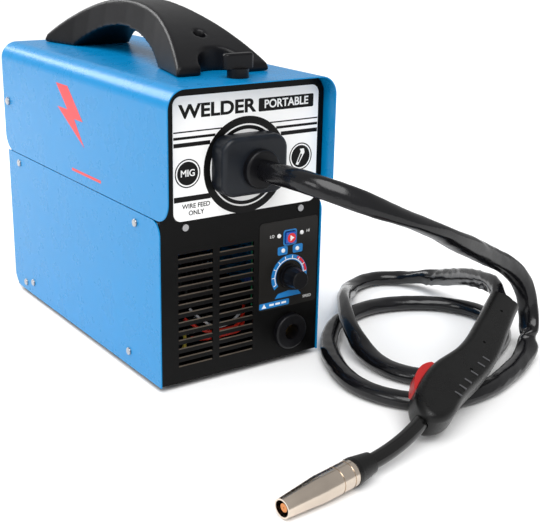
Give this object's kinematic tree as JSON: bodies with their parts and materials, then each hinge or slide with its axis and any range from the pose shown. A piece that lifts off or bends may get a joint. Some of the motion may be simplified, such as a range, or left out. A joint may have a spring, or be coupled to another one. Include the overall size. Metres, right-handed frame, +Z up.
{
  "type": "portable mig welder",
  "caption": "Portable wire-feed welder: sheet-steel case with a tilting hood, carrying handle and control dial, and a torch on a looped lead.",
  "frame": {"origin": "centre of the case's footprint, on the floor", "axes": "+X to the viewer's right when facing the control panel, +Y towards the rear, +Z up"},
  "size_m": [0.4879, 0.6602, 0.3772],
  "materials": {
    "blue_coat": "gloss powder coat",
    "black_coat": "satin",
    "zinc_steel": "zinc plated",
    "screw_steel": "bright",
    "black_plastic": "moulded grain",
    "slate_plastic": "moulded grain",
    "gloss_black": "gloss",
    "white_print": "printed film",
    "plate_print": "printed film",
    "blue_button": "gloss",
    "white_lens": "lens",
    "brass": "turned",
    "lamination": "laminated",
    "copper": "drawn",
    "nozzle_plate": "polished",
    "aluminium": "extruded",
    "board": "solder mask",
    "component": "gloss",
    "red_plastic": "gloss",
    "rubber": "soft",
    "lead_skin": "creased sheath",
    "clear_spool": "moulded",
    "wire": "drawn"
  },
  "bodies": {
    "case": {"base_tray": "black_coat", "side_panel_left": "blue_coat", "side_panel_right": "blue_coat", "shelf": "zinc_steel", "front_panel": "black_coat", "front_label": "white_print", "control_plate": "plate_print", "panel_screws": "screw_steel", "rear_panel": "black_coat", "pivot_screws": "screw_steel", "lock_bracket": "black_coat", "indicator_leds": "white_lens", "potentiometer": "aluminium", "control_board": "board", "board_components": "component", "earth_socket_body": "black_plastic", "earth_socket_insert": "brass", "gland_block": "slate_plastic", "gland_collar": "black_plastic", "torch_adaptor": "brass", "transformer_core": "lamination", "transformer_primary": "copper", "transformer_secondary": "copper", "rectifier_heatsink": "aluminium", "rectifier_diodes": "zinc_steel", "fan_housing": "black_plastic", "mains_switch_body": "black_plastic", "mains_inlet": "black_plastic", "rubber_feet": "rubber", "feed_bracket": "zinc_steel", "feed_motor": "zinc_steel", "pressure_arm": "black_plastic", "tension_stud": "zinc_steel", "tension_spring": "zinc_steel", "tension_knob": "black_plastic", "wire_guide": "brass", "spool_bracket": "zinc_steel", "spool_nut": "black_plastic", "torch_grip_upper": "black_plastic", "torch_grip_lower": "black_plastic", "torch_screws": "screw_steel", "torch_neck": "gloss_black", "torch_insulator": "black_plastic", "torch_contact_tip": "copper", "torch_nozzle": "nozzle_plate", "torch_boot": "rubber", "torch_lead": "lead_skin"},
    "hood": {"hood": "blue_coat", "handle": "black_plastic", "handle_screws": "screw_steel"},
    "lock_knob": {"lock_knob": "black_plastic"},
    "dial": {"dial_knob": "black_plastic"},
    "mode_button": {"mode_button": "blue_button"},
    "mains_rocker": {"mains_switch_rocker": "red_plastic"},
    "fan_rotor": {"fan_rotor": "black_plastic"},
    "drive_roller": {"drive_roller": "brass"},
    "pressure_roller": {"pressure_roller": "zinc_steel"},
    "spool": {"wire_spool": "clear_spool", "wire_coil": "wire"},
    "torch_trigger": {"torch_trigger": "red_plastic"}
  },
  "joints": [
    {"name": "hood_tilt", "type": "hinge", "parent": "case", "child": "hood", "pos_m": [0, 0.1894, 0.245], "axis": [-1, 0, 0], "range_deg": [0, 70]},
    {"name": "lock_knob_turn", "type": "hinge", "parent": "hood", "child": "lock_knob", "pos_m": [0, -0.172, 0.3153], "axis": [0, 0, 1], "continuous": true},
    {"name": "dial_turn", "type": "hinge", "parent": "case", "child": "dial", "pos_m": [0.0595, -0.1865, 0.1], "axis": [0, -1, 0], "range_deg": [-150, 150]},
    {"name": "mode_button_press", "type": "slide", "parent": "case", "child": "mode_button", "axis": [0, 1, 0], "range_m": [0, 0.0015], "stiffness_N_per_m": 500},
    {"name": "mains_rocker_tilt", "type": "hinge", "parent": "case", "child": "mains_rocker", "pos_m": [-0.055, 0.189, 0.156], "axis": [1, 0, 0], "range_deg": [-16, 0]},
    {"name": "fan_spin", "type": "hinge", "parent": "case", "child": "fan_rotor", "pos_m": [0, 0.18, 0.068], "axis": [0, 1, 0], "continuous": true},
    {"name": "spool_spin", "type": "hinge", "parent": "case", "child": "spool", "pos_m": [0.004, 0.06, 0.2392], "axis": [1, 0, 0], "continuous": true},
    {"name": "drive_roller_spin", "type": "hinge", "parent": "case", "child": "drive_roller", "pos_m": [0.004, -0.12, 0.2136], "axis": [1, 0, 0], "continuous": true},
    {"name": "pressure_roller_spin", "type": "hinge", "parent": "case", "child": "pressure_roller", "pos_m": [0.004, -0.12, 0.2444], "axis": [1, 0, 0], "continuous": true},
    {"name": "trigger_press", "type": "slide", "parent": "case", "child": "torch_trigger", "axis": [0.4675, -0.79, -0.3967], "range_m": [0, 0.0025], "stiffness_N_per_m": 400}
  ],
  "couplings": [
    {"joint": "drive_roller_spin", "follows": "spool_spin", "ratio": -2.8},
    {"joint": "pressure_roller_spin", "follows": "spool_spin", "ratio": 2.8}
  ]
}
